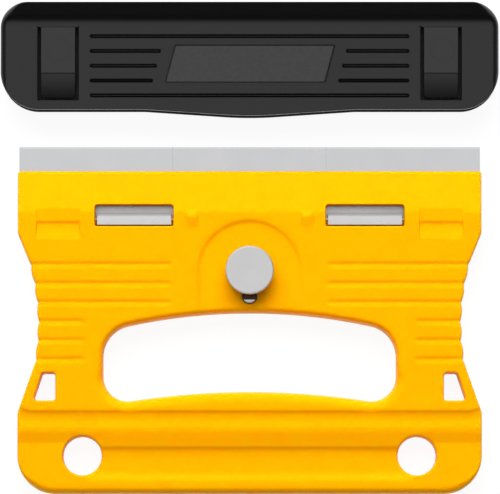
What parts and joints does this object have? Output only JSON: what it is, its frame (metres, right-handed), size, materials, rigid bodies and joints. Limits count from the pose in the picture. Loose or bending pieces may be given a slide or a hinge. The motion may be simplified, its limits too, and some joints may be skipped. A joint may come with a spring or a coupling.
{
  "type": "razor scraper",
  "caption": "Wide flat razor scraper with a moulded finger-opening handle, blades clamped by a steel plate and thumb knob, and a push-on blade cover with release tongues.",
  "frame": {"origin": "under the middle of the whole row, on the surface that the tool and its cover lie on", "axes": "+X along the blades, +Y from the handle past the cutting edge to the cover, +Z out of the front face"},
  "size_m": [0.1296, 0.128, 0.0145],
  "materials": {
    "yellow_plastic": "moulded, satin",
    "plate_steel": "rolled stainless",
    "turned_steel": "turned",
    "blade_steel": "ground carbon steel",
    "black_plastic": "moulded, fine texture"
  },
  "bodies": {
    "handle": {"handle": "yellow_plastic"},
    "clamp_carriage": {"knob_washer": "plate_steel"},
    "knob": {"thumb_knob": "turned_steel", "knob_stud": "turned_steel"},
    "clamp": {"clamp_plate": "plate_steel", "clamp_bush": "turned_steel", "guide_pin": "turned_steel"},
    "blade_left": {"blade_left": "blade_steel"},
    "blade_middle": {"blade_middle": "blade_steel"},
    "blade_right": {"blade_right": "blade_steel"},
    "cover": {"blade_cover": "black_plastic"},
    "tongue_left": {"release_tongue_left": "black_plastic"},
    "tongue_right": {"release_tongue_right": "black_plastic"}
  },
  "joints": [
    {"name": "cover_slide", "type": "slide", "parent": "handle", "child": "cover", "axis": [0, 1, 0], "range_m": [-0.033, 0.015]},
    {"name": "tongue_left_flex", "type": "hinge", "parent": "cover", "child": "tongue_left", "pos_m": [-0.0498, 0.05625, 0.0108], "axis": [-1, 0, 0], "range_deg": [0, 5], "stiffness_Nm_per_rad": 0.5},
    {"name": "tongue_right_flex", "type": "hinge", "parent": "cover", "child": "tongue_right", "pos_m": [0.0498, 0.05625, 0.0108], "axis": [-1, 0, 0], "range_deg": [0, 5], "stiffness_Nm_per_rad": 0.5},
    {"name": "plate_unhook", "type": "slide", "parent": "handle", "child": "clamp_carriage", "axis": [0, 1, 0], "range_m": [0, 0.002]},
    {"name": "knob_turn", "type": "hinge", "parent": "clamp_carriage", "child": "knob", "pos_m": [0, -0.00615, 0.0095], "axis": [0, 0, 1], "range_deg": [0, 1080]},
    {"name": "plate_drop", "type": "slide", "parent": "clamp_carriage", "child": "clamp", "axis": [0, 0, -1], "range_m": [0, 0.0021]},
    {"name": "blade_left_slide", "type": "slide", "parent": "handle", "child": "blade_left", "axis": [0, 1, 0], "range_m": [0, 0.0125]},
    {"name": "blade_middle_slide", "type": "slide", "parent": "handle", "child": "blade_middle", "axis": [0, 1, 0], "range_m": [0, 0.0125]},
    {"name": "blade_right_slide", "type": "slide", "parent": "handle", "child": "blade_right", "axis": [0, 1, 0], "range_m": [0, 0.0125]}
  ],
  "couplings": [
    {"joint": "knob_turn", "follows": "plate_drop", "rad_per_m": 8976}
  ]
}
